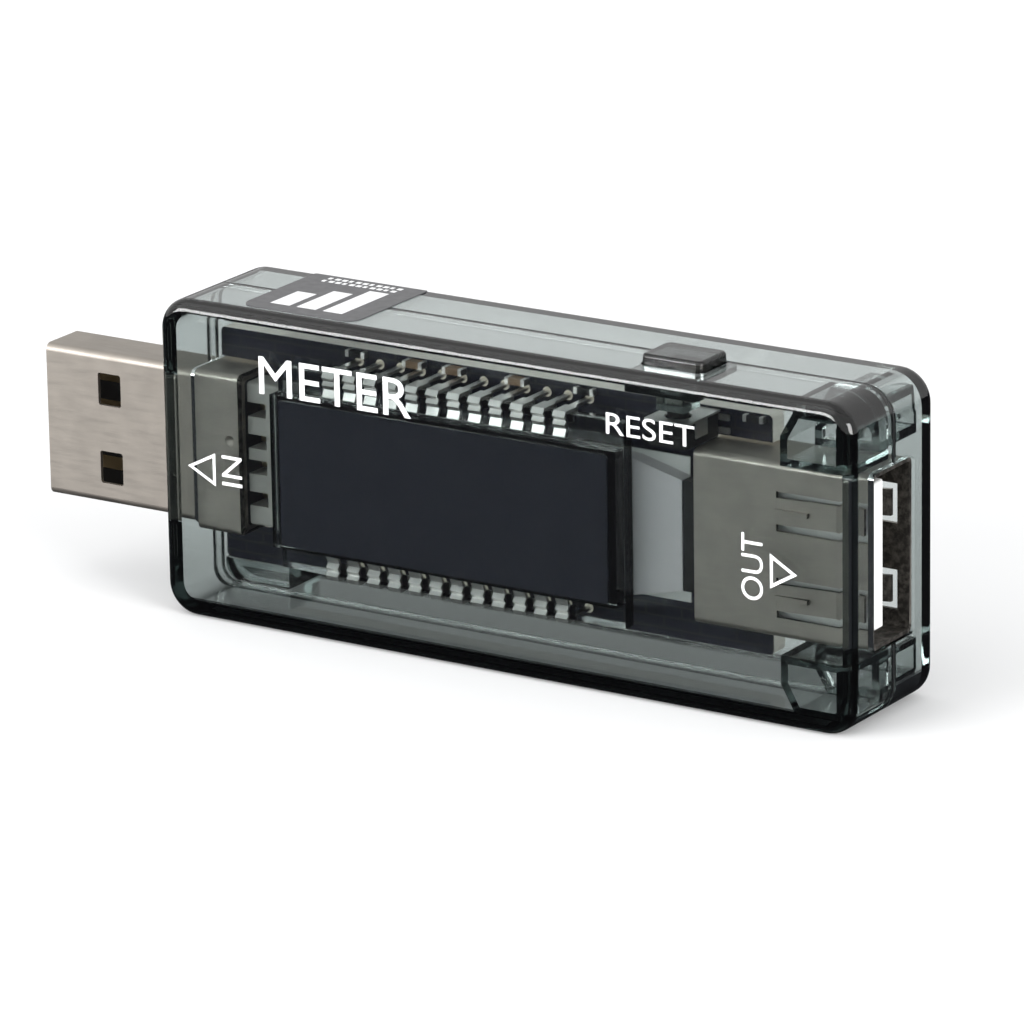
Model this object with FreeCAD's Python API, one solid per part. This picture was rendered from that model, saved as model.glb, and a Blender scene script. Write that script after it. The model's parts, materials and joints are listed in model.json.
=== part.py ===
"""Pass-through USB power meter: two clear half shells round a display board, plug and socket.

The meter stands on its long narrow edge. +X runs from the plug to the socket, +Y points to the
back of the case and +Z is up. Sub-parts are laid out from the plug-side end of the case
(X = 0), the middle of the thickness (Y = 0) and the bottom edge (Z = 0), and save() moves
them all to the middle of the whole length.
"""
import FreeCAD, Part
import math
import os

V = FreeCAD.Vector

# Driving dimensions, in millimetres.
CASE_LENGTH = 60.0
CASE_HEIGHT = 24.8
CASE_THICKNESS = 12.0
WALL = 1.2
END_WALL = 1.3
CORNER_RADIUS = 2.5
EDGE_RADIUS = 1.0
LIP_HEIGHT = 0.6
LIP_WIDTH = 0.5
SEAM_CHAMFER = 0.12
FIT = 0.05
LABEL_X = (6.8, 17.0)
LABEL_FILM = 0.08

CONNECTOR_Z = CASE_HEIGHT / 2
PLUG_REACH = 13.2
PLUG_WIDTH = 12.0
PLUG_DEPTH = 4.5
PLUG_INSET = 5.4
SOCKET_WIDTH = 13.2
SOCKET_DEPTH = 5.7
SOCKET_BACK = 45.3
SOCKET_FACE = 59.8
SHEET = 0.3
TONGUE = 1.84
CONTACT_OFFSETS = (-3.5, -1.0, 1.0, 3.5)
CONTACT_WIDTH = 1.0

BOARD_FRONT = 0.8
BOARD_THICKNESS = 1.6
BOARD_LEFT = 1.45
BOARD_RIGHT = 49.8
BOARD_BOTTOM = 3.0
BOARD_TOP = 21.2

LCD_LEFT = 9.2
LCD_RIGHT = 39.5
LCD_Z = 12.25
LCD_FRONT = -4.2
GLASS = 1.1
SEAL = 0.1
FILM = 0.18
LEDGE = 1.9
LCD_HALF_HEIGHT = 7.85
PIN_COUNT = 12
PIN_PITCH = 1.84
PIN_FIRST_X = 14.0
PIN_SHEET = 0.25
PIN_JAW = 1.05
PIN_LEG = 0.5
PIN_LEG_OFFSET = LCD_HALF_HEIGHT + PIN_SHEET / 2

BUTTON_X = 43.6
BUTTON_Y = -1.7
BUTTON_LENGTH = 5.2
BUTTON_DEPTH = 3.9
BUTTON_PROUD = 0.8
BUTTON_GAP = 0.15
SWITCH_Y = -2.1
SWITCH_HALF = 1.75
SWITCH_BOTTOM = 19.1
SWITCH_TOP = 20.9

# Planes that several sub-parts share.
HALF_THICKNESS = CASE_THICKNESS / 2
INNER_FRONT = -HALF_THICKNESS + WALL
INNER_BACK = HALF_THICKNESS - WALL
BOARD_BACK = BOARD_FRONT + BOARD_THICKNESS
GLASS_SPLIT = LCD_FRONT + GLASS
REAR_GLASS_FRONT = GLASS_SPLIT + SEAL
REAR_GLASS_BACK = REAR_GLASS_FRONT + GLASS
CENTRE_SHIFT = (PLUG_REACH - CASE_LENGTH) / 2
DIRECTIONS = (V(1, 0, 0), V(0, 1, 0), V(0, 0, 1))


def block(x, y, z):
    """A box from three (low, high) pairs."""
    size = [pair[1] - pair[0] for pair in (x, y, z)]
    return Part.makeBox(size[0], size[1], size[2], V(x[0], y[0], z[0]))


def round_along(shape, axis, radius):
    """Rounds every straight edge that runs along axis 0, 1 or 2."""
    direction = DIRECTIONS[axis]
    edges = [
        e
        for e in shape.Edges
        if isinstance(e.Curve, Part.Line) and abs(abs(e.Curve.Direction.dot(direction)) - 1) < 1e-6
    ]
    return shape.makeFillet(radius, edges)


def rounded(x, y, z, axis, radius):
    """A box whose four edges along one axis are rounded."""
    return round_along(block(x, y, z), axis, radius)


def profile_x(points, x):
    """A closed outline of (Y, Z) points, extruded from x[0] to x[1]."""
    corners = [V(x[0], py, pz) for py, pz in points]
    face = Part.Face(Part.makePolygon(corners + corners[:1]))
    return face.extrude(V(x[1] - x[0], 0, 0))


def profile_y(points, y):
    """A closed outline of (X, Z) points, extruded from y[0] to y[1]."""
    corners = [V(px, y[0], pz) for px, pz in points]
    face = Part.Face(Part.makePolygon(corners + corners[:1]))
    return face.extrude(V(0, y[1] - y[0], 0))


def profile_z(points, z):
    """A closed outline of (X, Y) points, extruded from z[0] to z[1]."""
    corners = [V(px, py, z[0]) for px, py in points]
    face = Part.Face(Part.makePolygon(corners + corners[:1]))
    return face.extrude(V(0, 0, z[1] - z[0]))


def pillar(x, z, y, radius):
    """A round post along Y, centred on (x, z)."""
    return Part.makeCylinder(radius, y[1] - y[0], V(x, y[0], z), V(0, 1, 0))


def disc(x, y, z, radius):
    """A round post along Z, centred on (x, y)."""
    return Part.makeCylinder(radius, z[1] - z[0], V(x, y, z[0]))


def about(centre, half):
    """The (low, high) pair that reaches half to each side of centre."""
    return (centre - half, centre + half)


def joined(shapes):
    """One solid from several that touch or overlap."""
    return shapes[0].multiFuse(shapes[1:]).removeSplitter()


def group(shapes):
    """Separate solids that share a node."""
    return Part.makeCompound(shapes)


def save(name, shape):
    """Writes one sub-part in the meter's own frame."""
    moved = shape.copy()
    moved.translate(V(CENTRE_SHIFT, 0, 0))
    moved.exportStep(f"parts/{name}.step")


# ---------------------------------------------------------------- case


def case_outline(inset, y, radius):
    """The case's outline, drawn in by inset, over a stretch of Y."""
    x = (inset, CASE_LENGTH - inset)
    z = (inset, CASE_HEIGHT - inset)
    return rounded(x, y, z, 1, radius)


def case_block(grow, rim_radius):
    """The solid outer form of both halves together, grown outwards, with rounded rims."""
    whole = case_outline(-grow, about(0.0, HALF_THICKNESS + grow), CORNER_RADIUS + grow)
    rims = [e for e in whole.Edges if e.BoundBox.YLength < 1e-6]
    return whole.makeFillet(rim_radius, rims)


def case_half(y):
    """The solid form of one half, with its outer edge chamfered where the halves meet."""
    half = case_block(0.0, EDGE_RADIUS).common(block((-1, CASE_LENGTH + 1), y, (-1, CASE_HEIGHT + 1)))
    seam = [e for e in half.Edges if max(abs(e.BoundBox.YMin), abs(e.BoundBox.YMax)) < 1e-6]
    return half.makeChamfer(SEAM_CHAMFER, seam)


def case_cavity():
    """The hollow inside both halves."""
    x = (END_WALL, CASE_LENGTH - END_WALL)
    y = (INNER_FRONT, INNER_BACK)
    z = (WALL, CASE_HEIGHT - WALL)
    return rounded(x, y, z, 1, CORNER_RADIUS - WALL)


def lip_ring(gap, height):
    """The rim that locates one half in the other, with a gap all round for the groove."""
    outer = case_outline(WALL - LIP_WIDTH - gap, (0.0, height), CORNER_RADIUS - WALL + LIP_WIDTH)
    return outer.cut(case_cavity())


def connector_openings():
    """The mouths in the end walls for the plug and the socket."""
    plug_y = about(0.0, PLUG_DEPTH / 2 + 0.1)
    plug_z = about(CONNECTOR_Z, PLUG_WIDTH / 2 + 0.1)
    plug = rounded((-1.0, END_WALL + 0.5), plug_y, plug_z, 0, 0.6)
    socket_y = about(0.0, SOCKET_DEPTH / 2 + 0.1)
    socket_z = about(CONNECTOR_Z, SOCKET_WIDTH / 2 + 0.1)
    socket = rounded((CASE_LENGTH - END_WALL - 0.5, CASE_LENGTH + 1.0), socket_y, socket_z, 0, 0.5)
    return plug.fuse(socket)


def button_opening():
    """The window in the top wall for the reset button."""
    x = about(BUTTON_X, BUTTON_LENGTH / 2 + BUTTON_GAP)
    y = about(BUTTON_Y, BUTTON_DEPTH / 2 + BUTTON_GAP)
    return rounded(x, y, (CASE_HEIGHT - WALL - 0.5, CASE_HEIGHT + 1.0), 2, 0.75)


BOSS_LEFT = 53.7
BOSS_HEIGHT = 4.3
BOSS_WALL = 0.6
BOSS_LAP = 1.0


def boss_outline(top, inset):
    """The five-sided outline of a socket-end corner boss, drawn in by inset."""
    right = CASE_LENGTH - END_WALL + 0.2
    low = WALL - 0.2
    points = [
        (BOSS_LEFT, low + BOSS_HEIGHT),
        (BOSS_LEFT, low + 2.1),
        (BOSS_LEFT + 1.2, low),
        (right, low),
        (right, low + BOSS_HEIGHT),
    ]
    height = [CASE_HEIGHT - z if top else z for x, z in points]
    corners = [V(x, 0, z) for (x, low_z), z in zip(points, height)]
    outline = Part.makePolygon(corners + corners[:1])
    return outline.makeOffset2D(-inset) if inset else outline


def boss_tube(top, inset, y):
    """A thin-walled tube along Y on a corner boss's outline."""
    outer, inner = (Part.Face(boss_outline(top, i)) for i in (inset, inset + BOSS_WALL))
    tube = outer.cut(inner).extrude(V(0, y[1] - y[0], 0))
    tube.translate(V(0, y[0], 0))
    return tube


def corner_boss(top):
    """The front half's hollow boss in a socket-end corner."""
    return boss_tube(top, 0.0, (INNER_FRONT - 0.2, -FIT))


def boss_plug(top):
    """The back half's hollow post, whose end nests in the corner boss."""
    return boss_tube(top, BOSS_WALL + FIT, (-BOSS_LAP, INNER_BACK + 0.2))


def front_shell():
    """The half with the display window: front wall, four side walls, lip and two bosses."""
    walls = case_half((-HALF_THICKNESS, 0)).cut(case_cavity())
    solid = joined([walls, lip_ring(0.0, LIP_HEIGHT), corner_boss(False), corner_boss(True)])
    return solid.cut(connector_openings()).cut(button_opening())


def board_supports():
    """Posts and a floor pad on the back half that carry the circuit board."""
    posts = [
        pillar(x, z, (BOARD_BACK, INNER_BACK + 0.2), 1.0)
        for x in (9.5, 43.5)
        for z in (5.6, 18.9)
    ]
    pad = block((END_WALL - 0.2, 7.1), (LIP_HEIGHT + 0.2, INNER_BACK + 0.2), (WALL - 0.2, BOARD_BOTTOM - 0.1))
    return posts + [pad]


def rear_shell():
    """The plain half: back wall, side walls with a groove for the lip, posts and board supports."""
    walls = case_half((0, HALF_THICKNESS)).cut(case_cavity()).cut(lip_ring(FIT, LIP_HEIGHT + FIT))
    solid = joined([walls, boss_plug(False), boss_plug(True)] + board_supports())
    return solid.cut(connector_openings()).cut(button_opening())


def seal_label():
    """The adhesive label across the joint on the top edge, folded onto the back rim."""
    skin = case_block(LABEL_FILM, EDGE_RADIUS + LABEL_FILM).cut(case_block(0.0, EDGE_RADIUS - 0.03))
    y = (-HALF_THICKNESS + EDGE_RADIUS + 0.15, HALF_THICKNESS - 0.1)
    patch = rounded(LABEL_X, y, (CASE_HEIGHT - EDGE_RADIUS, CASE_HEIGHT + 1.0), 2, 1.2)
    return skin.common(patch)


# ---------------------------------------------------------------- circuit board


def pin_x(index):
    """The X of one display pin."""
    return PIN_FIRST_X + index * PIN_PITCH


def pin_holes():
    """Plated holes for both rows of display pins."""
    return [
        pillar(pin_x(i), LCD_Z + side * PIN_LEG_OFFSET, (BOARD_FRONT - 1, BOARD_BACK + 1), 0.38)
        for i in range(PIN_COUNT)
        for side in (-1, 1)
    ]


def circuit_board():
    """The board, notched at both ends so that the connectors sit in its thickness."""
    y = (BOARD_FRONT, BOARD_BACK)
    board = rounded((BOARD_LEFT, BOARD_RIGHT), y, (BOARD_BOTTOM, BOARD_TOP), 1, 0.4)
    deep = (BOARD_FRONT - 1, BOARD_BACK + 1)
    plug_notch = block((BOARD_LEFT - 1, PLUG_INSET + 0.15), deep, about(CONNECTOR_Z, 6.5))
    socket_notch = block((SOCKET_BACK - 0.15, BOARD_RIGHT + 1), deep, about(CONNECTOR_Z, 6.75))
    return board.cut(plug_notch).cut(socket_notch).cut(group(pin_holes()))


# ---------------------------------------------------------------- plug


def tube_x(x, depth, width, wall, radius):
    """A rectangular sheet tube along X."""
    outer = rounded(x, about(0, depth / 2), about(CONNECTOR_Z, width / 2), 0, radius)
    inner_y = about(0, depth / 2 - wall)
    inner_z = about(CONNECTOR_Z, width / 2 - wall)
    inner = rounded((x[0] - 1, x[1] + 1), inner_y, inner_z, 0, radius - wall * 0.6)
    return outer.cut(inner)


def plug_shell():
    """The plug's sheet-metal sleeve, with two latch windows in each wide face."""
    sleeve = tube_x((-PLUG_REACH, PLUG_INSET), PLUG_DEPTH, PLUG_WIDTH, SHEET, 0.55)
    window_x = (-8.4, -6.3)
    for side in (-1, 1):
        window_z = about(CONNECTOR_Z + side * 3.1, 1.28)
        window = rounded(window_x, (-PLUG_DEPTH, PLUG_DEPTH), window_z, 1, 0.2)
        sleeve = sleeve.cut(window)
    return sleeve


def plug_insulator():
    """The black tongue of the plug and the block that fills the sleeve behind it."""
    inside = PLUG_DEPTH / 2 - SHEET - 0.02
    half = PLUG_WIDTH / 2 - SHEET - 0.02
    tongue = block((-PLUG_REACH + 0.6, 1.0), (inside - TONGUE, inside), about(CONNECTOR_Z, half - 0.3))
    rear = rounded((-4.2, PLUG_INSET), (-inside, inside), about(CONNECTOR_Z, half), 0, 0.42)
    body = tongue.fuse(rear)
    for offset in CONTACT_OFFSETS:
        groove_z = about(CONNECTOR_Z + offset, CONTACT_WIDTH / 2 + 0.02)
        groove_y = (inside - TONGUE - 1, inside - TONGUE + 0.22)
        body = body.cut(block((-PLUG_REACH + 1.2, -4.2), groove_y, groove_z))
        slot_y = (inside - TONGUE, inside - TONGUE + 0.22)
        body = body.cut(block((-4.3, PLUG_INSET + 1), slot_y, groove_z))
    return body.removeSplitter()


def plug_contacts():
    """Four flat contacts along the tongue, with tails that turn back to the board."""
    plane = PLUG_DEPTH / 2 - SHEET - 0.02 - TONGUE
    strips = []
    for offset in CONTACT_OFFSETS:
        z = about(CONNECTOR_Z + offset, CONTACT_WIDTH / 2)
        blade = block((-PLUG_REACH + 1.3, PLUG_INSET + 1.0), (plane, plane + 0.2), z)
        drop = block((PLUG_INSET + 0.8, PLUG_INSET + 1.0), (plane, BOARD_FRONT), z)
        foot = block((PLUG_INSET + 0.8, PLUG_INSET + 3.0), (BOARD_FRONT - 0.2, BOARD_FRONT), z)
        strips.append(joined([blade, drop, foot]))
    return group(strips)


def plug_collar():
    """The thicker metal sleeve round the plug inside the case, with wings soldered to the board."""
    x = (END_WALL + 0.1, PLUG_INSET - 0.1)
    outer = rounded(x, about(0, 2.8), about(CONNECTOR_Z, 6.3), 0, 0.5)
    hole_y = about(0, PLUG_DEPTH / 2 + 0.01)
    hole_z = about(CONNECTOR_Z, PLUG_WIDTH / 2 + 0.01)
    hole = rounded((x[0] - 1, x[1] + 1), hole_y, hole_z, 0, 0.55)
    dimple = Part.makeSphere(0.55, V(x[1] - 0.8, -3.15, CONNECTOR_Z + 1.1))
    collar = outer.cut(hole).cut(dimple)
    wings = [
        block((2.6, 4.6), (BOARD_BACK, BOARD_BACK + 0.3), z)
        for z in ((CONNECTOR_Z - 7.9, CONNECTOR_Z - 6.2), (CONNECTOR_Z + 6.2, CONNECTOR_Z + 7.9))
    ]
    return joined([collar] + wings)


def tail_block():
    """The comb behind the plug that keeps its four tails apart."""
    x = (PLUG_INSET + 0.05, PLUG_INSET + 3.4)
    body = rounded(x, (-1.7, BOARD_FRONT), about(CONNECTOR_Z, 5.6), 0, 0.3)
    for offset in CONTACT_OFFSETS:
        z = about(CONNECTOR_Z + offset, CONTACT_WIDTH / 2 + 0.05)
        body = body.cut(block((PLUG_INSET - 1, PLUG_INSET + 1.7), (-3, BOARD_FRONT + 1), z))
        body = body.cut(block((PLUG_INSET - 1, PLUG_INSET + 3.1), (BOARD_FRONT - 0.25, 2), z))
    return body


# ---------------------------------------------------------------- socket

FINGER_X = (52.2, 58.8)
FINGER_OFFSETS = (-3.55, 2.95)
FINGER_WIDTH = 2.0
FINGER_SLOT = 0.5
FINGER_BOW = 0.45


def spring_finger(side, offset):
    """A leaf of the socket's wide face, rooted deep inside, bowed inwards and flared at the mouth."""
    wall = SOCKET_DEPTH / 2
    tip = FINGER_X[1] - FINGER_SLOT
    outer = [(FINGER_X[0] - 0.1, wall), (56.9, wall - FINGER_BOW), (tip, wall - 0.05)]
    inner = [(x, y - SHEET) for x, y in reversed(outer)]
    outline = [(x, side * y) for x, y in outer + inner]
    leaf = profile_z(outline, about(CONNECTOR_Z + offset, FINGER_WIDTH / 2))
    ridge_y = sorted((side * (wall - SHEET), side * (wall + 0.12)))
    ridge = block((FINGER_X[0] - 0.1, 54.8), ridge_y, about(CONNECTOR_Z + offset, 0.18))
    return leaf.fuse(ridge)


def socket_shell():
    """The socket's sheet-metal box, open at the mouth, with four spring fingers and four wings."""
    box_tube = tube_x((SOCKET_BACK, SOCKET_FACE), SOCKET_DEPTH, SOCKET_WIDTH, SHEET, 0.5)
    leaves = []
    for side in (-1, 1):
        for offset in FINGER_OFFSETS:
            z = about(CONNECTOR_Z + offset, FINGER_WIDTH / 2 + FINGER_SLOT)
            y = (0.5, SOCKET_DEPTH) if side > 0 else (-SOCKET_DEPTH, -0.5)
            box_tube = box_tube.cut(block(FINGER_X, y, z))
            leaves.append(spring_finger(side, offset))
    wings = [
        block(x, (BOARD_BACK, BOARD_BACK + 0.3), z)
        for x in ((46.5, 47.7), (48.4, 49.6))
        for z in ((CONNECTOR_Z - 7.9, CONNECTOR_Z - 6.4), (CONNECTOR_Z + 6.4, CONNECTOR_Z + 7.9))
    ]
    return joined([box_tube] + leaves + wings)


TONGUE_FRONT = -1.95
TONGUE_BACK = TONGUE_FRONT + TONGUE


def socket_insulator():
    """The white tongue and the block behind it that closes the socket."""
    half = SOCKET_WIDTH / 2 - SHEET - 0.05
    inside = SOCKET_DEPTH / 2 - SHEET - 0.05
    rear = rounded((SOCKET_BACK, 50.6), about(0, inside), about(CONNECTOR_Z, half), 0, 0.4)
    tongue = block((50.0, 59.2), (TONGUE_FRONT, TONGUE_BACK), about(CONNECTOR_Z, 5.55))
    body = rear.fuse(tongue)
    for offset in CONTACT_OFFSETS:
        z = about(CONNECTOR_Z + offset, CONTACT_WIDTH / 2 + 0.02)
        body = body.cut(block((SOCKET_BACK - 1, 58.2), (TONGUE_BACK - 0.25, TONGUE_BACK), z))
    tip_edges = [e for e in body.Edges if abs(e.BoundBox.XMin - 59.2) < 1e-6 and e.BoundBox.XLength < 1e-6]
    return body.makeFillet(0.25, tip_edges)


def socket_contacts():
    """Four spring contacts on the tongue, with tails that turn back to the board."""
    strips = []
    low = TONGUE_BACK - 0.25
    for offset in CONTACT_OFFSETS:
        z = about(CONNECTOR_Z + offset, CONTACT_WIDTH / 2)
        bowed = [
            (SOCKET_BACK - 0.4, low),
            (54.0, low),
            (56.6, low + 0.55),
            (58.0, low),
            (58.0, low + 0.2),
            (56.6, low + 0.75),
            (54.0, low + 0.2),
            (SOCKET_BACK - 0.4, low + 0.2),
        ]
        leaf = profile_z(bowed, z)
        drop = block((SOCKET_BACK - 0.6, SOCKET_BACK - 0.4), (low, BOARD_FRONT), z)
        foot = block((SOCKET_BACK - 2.0, SOCKET_BACK - 0.4), (BOARD_FRONT - 0.2, BOARD_FRONT), z)
        strips.append(joined([leaf, drop, foot]))
    return group(strips)


# ---------------------------------------------------------------- display


def front_glass_z():
    """The height range of the front glass, which is shorter by a ledge at top and bottom."""
    return about(LCD_Z, LCD_HALF_HEIGHT - LEDGE)


def lcd_front_glass():
    return block((LCD_LEFT, LCD_RIGHT), (LCD_FRONT, GLASS_SPLIT), front_glass_z())


def lcd_rear_glass():
    y = (REAR_GLASS_FRONT, REAR_GLASS_BACK)
    return block((LCD_LEFT, LCD_RIGHT), y, about(LCD_Z, LCD_HALF_HEIGHT))


def lcd_seal():
    """The sealant frame that keeps the two glasses apart."""
    y = (GLASS_SPLIT, REAR_GLASS_FRONT)
    outer = block((LCD_LEFT + 0.2, LCD_RIGHT - 0.2), y, about(LCD_Z, LCD_HALF_HEIGHT - LEDGE - 0.1))
    inner_z = about(LCD_Z, LCD_HALF_HEIGHT - LEDGE - 0.9)
    return outer.cut(block((LCD_LEFT + 1.0, LCD_RIGHT - 1.0), (y[0] - 1, y[1] + 1), inner_z))


def polarizer(y, half_height):
    return rounded((LCD_LEFT + 0.9, LCD_RIGHT - 0.65), y, about(LCD_Z, half_height), 1, 0.2)


# The front jaw of a display pin: (distance in front of the rear glass, drop from the glass's edge).
JAW_WAVES = ((0.3, 0.0), (0.3, 0.15), (0.05, 0.45), (0.25, 0.75), (0.0, 1.1), (0.25, 1.65))


def clip_pin(x, side):
    """One display pin: a waved front jaw, a short back jaw and a leg to the board."""
    edge = LCD_HALF_HEIGHT
    top = edge + PIN_SHEET
    back = REAR_GLASS_BACK + PIN_SHEET
    inner = [(REAR_GLASS_FRONT - out, edge - drop) for out, drop in JAW_WAVES]
    outer = [(y - PIN_SHEET, z) for y, z in reversed(inner[1:])]
    cap = [(REAR_GLASS_FRONT - 0.3, top), (back, top), (back, edge - 0.8), (REAR_GLASS_BACK, edge - 0.8)]
    jaw = inner + outer + cap + [(REAR_GLASS_BACK, edge)]
    wide = profile_x([(y, LCD_Z + side * z) for y, z in jaw], about(x, PIN_JAW / 2))
    height = sorted((LCD_Z + side * edge, LCD_Z + side * top))
    leg = block(about(x, PIN_LEG / 2), (REAR_GLASS_BACK, BOARD_BACK + 0.7), height)
    return joined([wide, leg])


def clip_pins(side):
    """One row of display pins."""
    return group([clip_pin(pin_x(i), side) for i in range(PIN_COUNT)])


GUIDE_FRONT = REAR_GLASS_BACK + FILM + 0.02
GUIDE_BACK = -0.35
GUIDE_END = 43.6


def backlight_guide():
    """The milky slab that spreads the lamp's light, tapered where the light enters."""
    outline = [
        (LCD_LEFT + 0.9, LCD_Z - 5.6),
        (LCD_RIGHT - 0.2, LCD_Z - 5.6),
        (GUIDE_END, LCD_Z - 4.6),
        (GUIDE_END, LCD_Z + 3.8),
        (LCD_RIGHT - 0.2, LCD_Z + 4.9),
        (LCD_LEFT + 0.9, LCD_Z + 4.9),
    ]
    return profile_y(outline, (GUIDE_FRONT, GUIDE_BACK))


def backlight_reflector():
    x = (LCD_LEFT + 0.9, GUIDE_END - 0.1)
    return block(x, (GUIDE_BACK, GUIDE_BACK + 0.1), (LCD_Z - 5.9, LCD_Z + 5.2))


def backlight_lamp():
    """The dark strip of two side-facing lamps at the guide's end, on feet on the board."""
    strip = block((GUIDE_END + 0.05, 44.65), (GUIDE_FRONT, 0.1), (LCD_Z - 4.6, LCD_Z + 3.8))
    feet = [
        block((GUIDE_END + 0.15, 44.3), (0.1, BOARD_FRONT), about(LCD_Z + z, 0.2))
        for z in (-2.6, 2.05)
    ]
    return joined([strip] + feet)


def foam_pad():
    """The double-sided pad that bonds the backlight to the board."""
    x = (LCD_LEFT + 2.4, 39.4)
    return rounded(x, (GUIDE_BACK + 0.1, BOARD_FRONT), (LCD_Z - 5.0, LCD_Z + 4.4), 1, 0.5)


# ---------------------------------------------------------------- reset button and switch

COVER_TOP = SWITCH_TOP + 0.15
PLUNGER_TOP = COVER_TOP + 0.55
POCKET_FLOOR = SWITCH_TOP - 1.1
POCKET_RADIUS = 1.4
DOME_RADIUS = 1.25
DOME_RISE = 0.4
STEM_HALF = 1.2


def reset_button():
    """The clear cap in the top wall, with a flange that stops it falling out and a stem to the switch."""
    x = about(BUTTON_X, BUTTON_LENGTH / 2)
    y = about(BUTTON_Y, BUTTON_DEPTH / 2)
    top = CASE_HEIGHT + BUTTON_PROUD
    ceiling = CASE_HEIGHT - WALL
    cap = rounded(x, y, (ceiling - 0.5, top), 2, 0.6)
    rim = [e for e in cap.Edges if e.BoundBox.ZMin > top - 1e-6]
    cap = cap.makeFillet(0.3, rim)
    flange_y = (INNER_FRONT + 0.1, BUTTON_Y + BUTTON_DEPTH / 2 + 0.5)
    flange_x = about(BUTTON_X, BUTTON_LENGTH / 2 + 0.5)
    flange = rounded(flange_x, flange_y, (ceiling - 0.5, ceiling - 0.05), 2, 0.4)
    stem_z = (PLUNGER_TOP + 0.02, ceiling - 0.4)
    stem = rounded(about(BUTTON_X, STEM_HALF), about(SWITCH_Y, STEM_HALF), stem_z, 2, 0.2)
    return joined([cap, flange, stem])


def switch_body():
    """The switch's black housing, with a round pocket for the dome and plunger."""
    x = about(BUTTON_X, SWITCH_HALF)
    body = block(x, (SWITCH_Y - SWITCH_HALF, BOARD_FRONT), (SWITCH_BOTTOM, SWITCH_TOP))
    body = round_along(body, 2, 0.3)
    return body.cut(disc(BUTTON_X, SWITCH_Y, (POCKET_FLOOR, SWITCH_TOP + 1), POCKET_RADIUS))


def switch_cover():
    """The pierced metal plate that keeps the plunger in, folded down at both ends."""
    y = (SWITCH_Y - SWITCH_HALF + 0.1, BOARD_FRONT - 0.1)
    low = SWITCH_HALF
    high = SWITCH_HALF + 0.12
    plate = block(about(BUTTON_X, high), y, (SWITCH_TOP, COVER_TOP))
    tabs = [
        block(x, about(SWITCH_Y + 0.2, 0.8), (SWITCH_TOP - 1.2, COVER_TOP))
        for x in ((BUTTON_X - high, BUTTON_X - low), (BUTTON_X + low, BUTTON_X + high))
    ]
    return joined([plate] + tabs).cut(disc(BUTTON_X, SWITCH_Y, (SWITCH_TOP - 1, COVER_TOP + 1), 1.0))


def switch_plunger():
    """The small button of the switch, with a flange under the cover plate."""
    shaft = disc(BUTTON_X, SWITCH_Y, (SWITCH_TOP - 0.4, PLUNGER_TOP), 0.8)
    flange = disc(BUTTON_X, SWITCH_Y, (SWITCH_TOP - 0.4, SWITCH_TOP - 0.1), 1.2)
    return joined([shaft, flange])


def switch_dome():
    """The snap dome that closes the contacts and pushes the plunger back."""
    sphere_radius = (DOME_RADIUS ** 2 + DOME_RISE ** 2) / (2 * DOME_RISE)
    centre = V(BUTTON_X, SWITCH_Y, POCKET_FLOOR + 0.01 + DOME_RISE - sphere_radius)
    outer = Part.makeSphere(sphere_radius, centre)
    inner = Part.makeSphere(sphere_radius - 0.07, centre)
    keep = disc(BUTTON_X, SWITCH_Y, (POCKET_FLOOR + 0.01, SWITCH_TOP), DOME_RADIUS + 0.05)
    return outer.cut(inner).common(keep)


def switch_terminals():
    """Four flat feet from the housing to the board."""
    feet = []
    for side in (-1, 1):
        x_low = BUTTON_X + side * SWITCH_HALF
        for z in (SWITCH_BOTTOM + 0.2, SWITCH_BOTTOM + 1.2):
            x = (x_low, x_low + 0.9) if side > 0 else (x_low - 0.9, x_low)
            feet.append(block(x, (BOARD_FRONT - 0.2, BOARD_FRONT), (z, z + 0.45)))
    return group(feet)


# ---------------------------------------------------------------- chips on the board


def chip_body(x, z, y, half_x, half_z):
    """A moulded package with slanted sides, on one face of the board."""
    y_low, y_high = y
    lower = block(about(x, half_x), (y_low, y_high), about(z, half_z))
    edges = [e for e in lower.Edges if e.BoundBox.YLength < 1e-6]
    return lower.makeChamfer(0.12, edges)


def gull_lead(offset, reach, thickness, width, stand):
    """A gull-wing lead in its own frame: it leaves the body at offset and lands at offset + reach."""
    bend = reach * 0.45
    points = [
        (offset, stand),
        (offset + bend, stand),
        (offset + bend, thickness),
        (offset + reach, thickness),
        (offset + reach, 0.0),
        (offset + bend - thickness, 0.0),
        (offset + bend - thickness, stand - thickness),
        (offset, stand - thickness),
    ]
    corners = [V(px, py, -width / 2) for px, py in points]
    face = Part.Face(Part.makePolygon(corners + corners[:1]))
    return face.extrude(V(0, 0, width))


def placed_lead(lead, turn, x, z, slide):
    """A lead turned about Y by turn degrees, slid along its side, and put on the board's back."""
    piece = lead.copy()
    piece.translate(V(0, 0, slide))
    piece.rotate(V(0, 0, 0), V(0, 1, 0), turn)
    piece.translate(V(x, BOARD_BACK, z))
    return piece


def lead_rows(x, z, half, count, pitch, turns, reach=0.9, width=0.22):
    """Rows of gull-wing leads, one row on the side that each turn faces."""
    lead = gull_lead(half, reach, 0.13, width, 0.7)
    first = -(count - 1) / 2 * pitch
    return [placed_lead(lead, turn, x, z, first + i * pitch) for turn in turns for i in range(count)]


MCU_X = 24.0
MCU_Z = 12.4
MCU_HALF = 3.5
AMP_X = 13.2
AMP_Z = 8.2
MEMORY_X = 13.2
MEMORY_Z = 16.4
REGULATOR_X = 35.0
REGULATOR_Z = 15.6


def microcontroller():
    return chip_body(MCU_X, MCU_Z, (BOARD_BACK + 0.1, BOARD_BACK + 1.5), MCU_HALF, MCU_HALF)


def microcontroller_leads():
    return group(lead_rows(MCU_X, MCU_Z, MCU_HALF, 12, 0.5, (0, 90, 180, 270)))


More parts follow.
